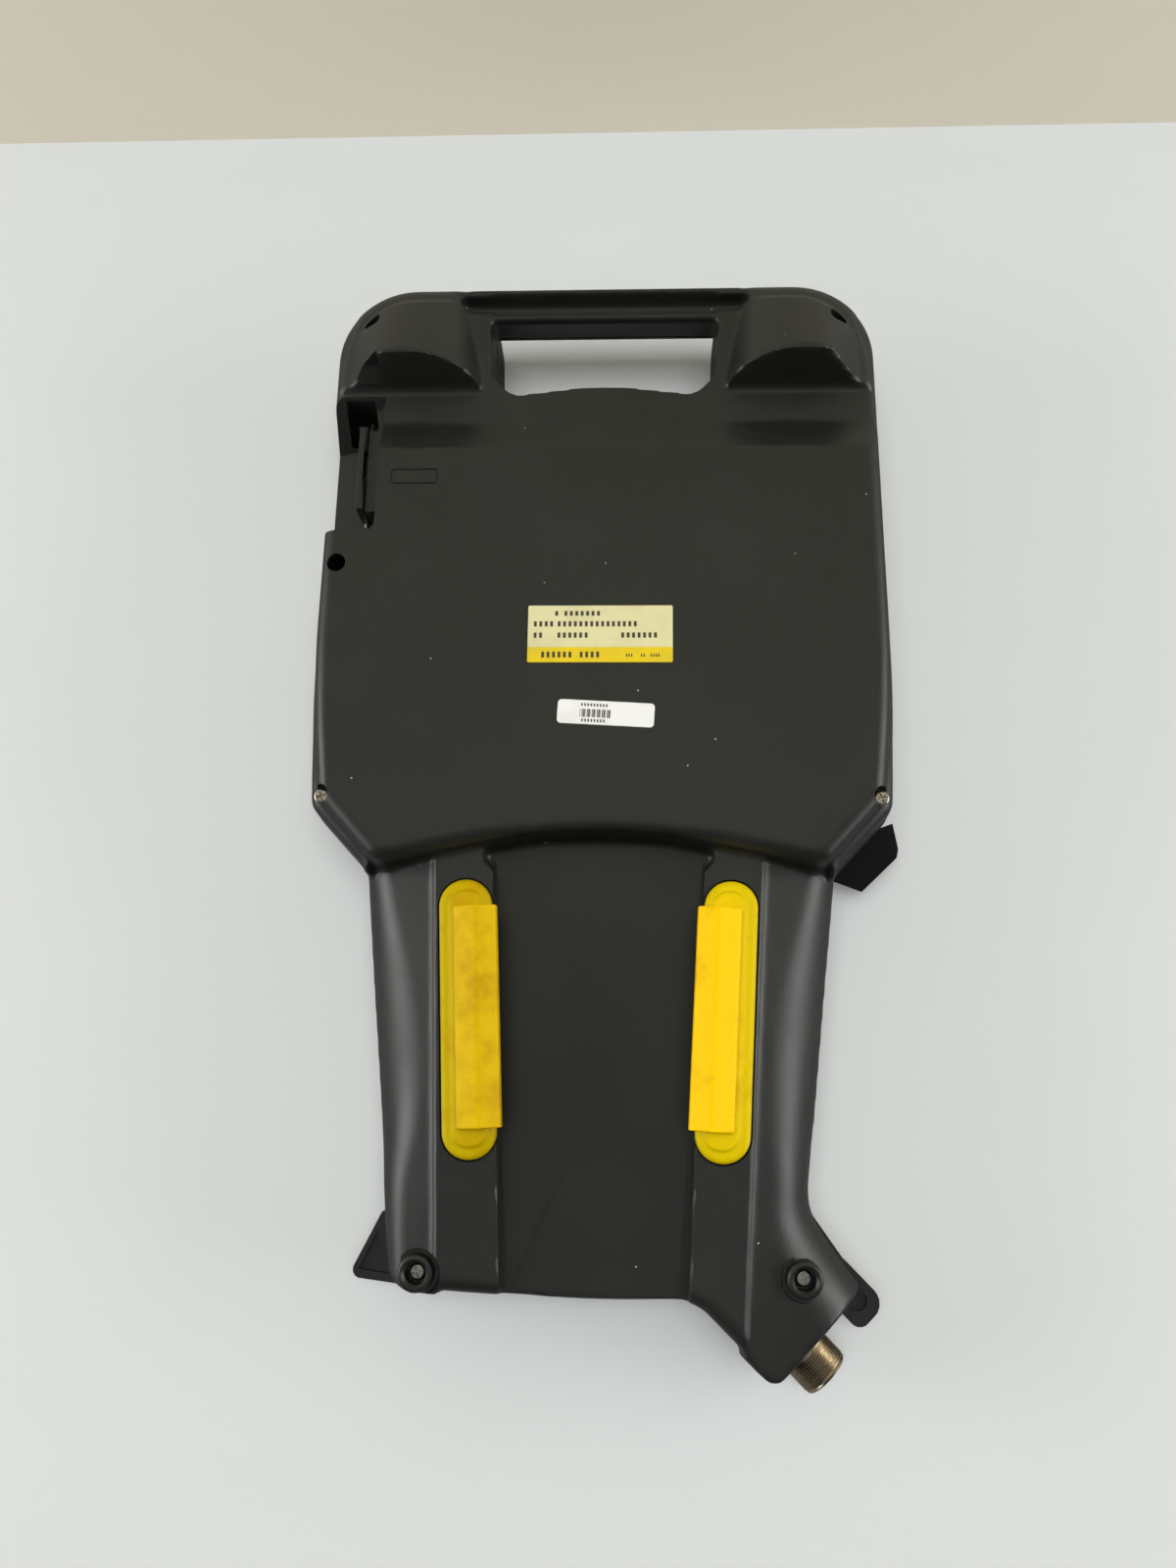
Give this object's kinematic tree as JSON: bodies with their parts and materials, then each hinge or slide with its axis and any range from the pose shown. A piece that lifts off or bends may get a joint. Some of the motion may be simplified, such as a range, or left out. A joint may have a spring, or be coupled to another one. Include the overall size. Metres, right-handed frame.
{
  "type": "teach pendant",
  "caption": "Hand-held teach pendant with carrying handle, display, keypad, emergency stop, spring-back enabling levers, port flap and angled cable connector.",
  "frame": {"origin": "centre of the bounding box in X and Y, on the plane of the front rim that the pendant lies on", "axes": "+Z towards the rear cover, +Y towards the carrying handle, +X to the side of the cable outlet"},
  "size_m": [0.2291, 0.4283, 0.0747],
  "materials": {
    "case_charcoal": "moulded fine texture",
    "case_black": "moulded fine texture",
    "seal_rubber": "extruded",
    "screw_steel": "zinc plated",
    "brass": "turned",
    "label_cream": "printed film",
    "sticker_white": "printed film",
    "plated_steel": "plated",
    "circuit_board": "solder mask",
    "window_clear": "clear hard-coated panel",
    "lcd_glass": "dark display glass",
    "white_plastic": "moulded",
    "keypad_film": "embossed film",
    "stop_red": "moulded",
    "collar_yellow": "moulded",
    "knob_black": "moulded",
    "lever_yellow": "soft-touch moulded",
    "boot_yellow": "soft-touch moulded",
    "switch_blue": "moulded",
    "aluminium": "extruded",
    "nickel_plate": "worn nickel plate",
    "strap_webbing": "woven nylon"
  },
  "bodies": {
    "root": {"rear_cover": "case_charcoal", "front_cover": "case_black", "case_seal": "seal_rubber", "case_screws": "screw_steel", "thread_inserts": "brass", "name_plate": "label_cream", "asset_sticker": "sticker_white", "usb_flap_pin": "screw_steel", "usb_socket": "plated_steel", "usb_board": "circuit_board", "display_window": "window_clear", "window_seal": "seal_rubber", "lcd_frame": "plated_steel", "lcd_panel": "lcd_glass", "backlight": "white_plastic", "keypad_overlay": "keypad_film", "keypad_circuit": "white_plastic", "estop_collar": "collar_yellow", "estop_body": "case_black", "estop_nut": "plated_steel", "estop_contacts": "white_plastic", "selector_plate": "plated_steel", "selector_body": "case_black", "selector_nut": "plated_steel", "selector_switch": "white_plastic", "lever_boot_left": "boot_yellow", "lever_boot_right": "boot_yellow", "lever_pin_left": "screw_steel", "lever_pin_right": "screw_steel", "lever_spring_left": "screw_steel", "lever_spring_right": "screw_steel", "enable_switch_left": "switch_blue", "enable_switch_right": "switch_blue", "switch_bracket_left": "plated_steel", "switch_bracket_right": "plated_steel", "bracket_screws": "screw_steel", "main_board": "circuit_board", "board_spacers": "brass", "board_screws": "screw_steel", "heat_spreader": "aluminium", "backlight_inverter": "circuit_board", "board_connectors": "white_plastic", "buzzer": "case_black", "connector_shell": "nickel_plate", "connector_insert": "case_black", "connector_pins": "brass", "connector_gasket": "seal_rubber", "connector_screws": "screw_steel", "hand_strap": "strap_webbing", "strap_rivets": "screw_steel"},
    "lever_left": {"enable_lever_left": "lever_yellow"},
    "lever_right": {"enable_lever_right": "lever_yellow"},
    "plunger_left": {"switch_plunger_left": "white_plastic"},
    "plunger_right": {"switch_plunger_right": "white_plastic"},
    "stop_stem": {"estop_stem": "case_black"},
    "stop_button": {"estop_head": "stop_red"},
    "selector": {"selector_knob": "knob_black", "selector_shaft": "plated_steel"},
    "port_flap": {"usb_flap": "case_black"}
  },
  "joints": [
    {"name": "enable_lever_left", "type": "hinge", "parent": "root", "child": "lever_left", "pos_m": [-0.05369, -0.08539, 0.0445], "axis": [-0.0523, 0.9986, 0], "range_deg": [0, 6], "stiffness_Nm_per_rad": 0.8, "springref_deg": -2.86, "deforming": ["lever_spring_left"]},
    {"name": "enable_lever_right", "type": "hinge", "parent": "root", "child": "lever_right", "pos_m": [0.05369, -0.08539, 0.0445], "axis": [-0.0523, -0.9986, 0], "range_deg": [0, 6], "stiffness_Nm_per_rad": 0.8, "springref_deg": -2.86, "deforming": ["lever_spring_right"]},
    {"name": "switch_plunger_left", "type": "slide", "parent": "root", "child": "plunger_left", "axis": [0, 0, -1], "range_m": [0, 0.001]},
    {"name": "switch_plunger_right", "type": "slide", "parent": "root", "child": "plunger_right", "axis": [0, 0, -1], "range_m": [0, 0.001]},
    {"name": "stop_push", "type": "slide", "parent": "root", "child": "stop_stem", "axis": [0, 0, 1], "range_m": [0, 0.004]},
    {"name": "stop_release", "type": "hinge", "parent": "stop_stem", "child": "stop_button", "pos_m": [-0.077, 0.181, 0.005], "axis": [0, 0, 1], "range_deg": [0, 45], "stiffness_Nm_per_rad": 0.01},
    {"name": "selector_turn", "type": "hinge", "parent": "root", "child": "selector", "pos_m": [0.077, 0.181, 0.01], "axis": [0, 0, 1], "range_deg": [0, 90]},
    {"name": "port_flap", "type": "hinge", "parent": "root", "child": "port_flap", "pos_m": [-0.0971, 0.125, 0.0356], "axis": [0, -1, 0], "range_deg": [0, 90]}
  ],
  "couplings": [
    {"joint": "switch_plunger_left", "follows": "enable_lever_left", "m_per_rad": 0.0085},
    {"joint": "switch_plunger_right", "follows": "enable_lever_right", "m_per_rad": 0.0085}
  ]
}
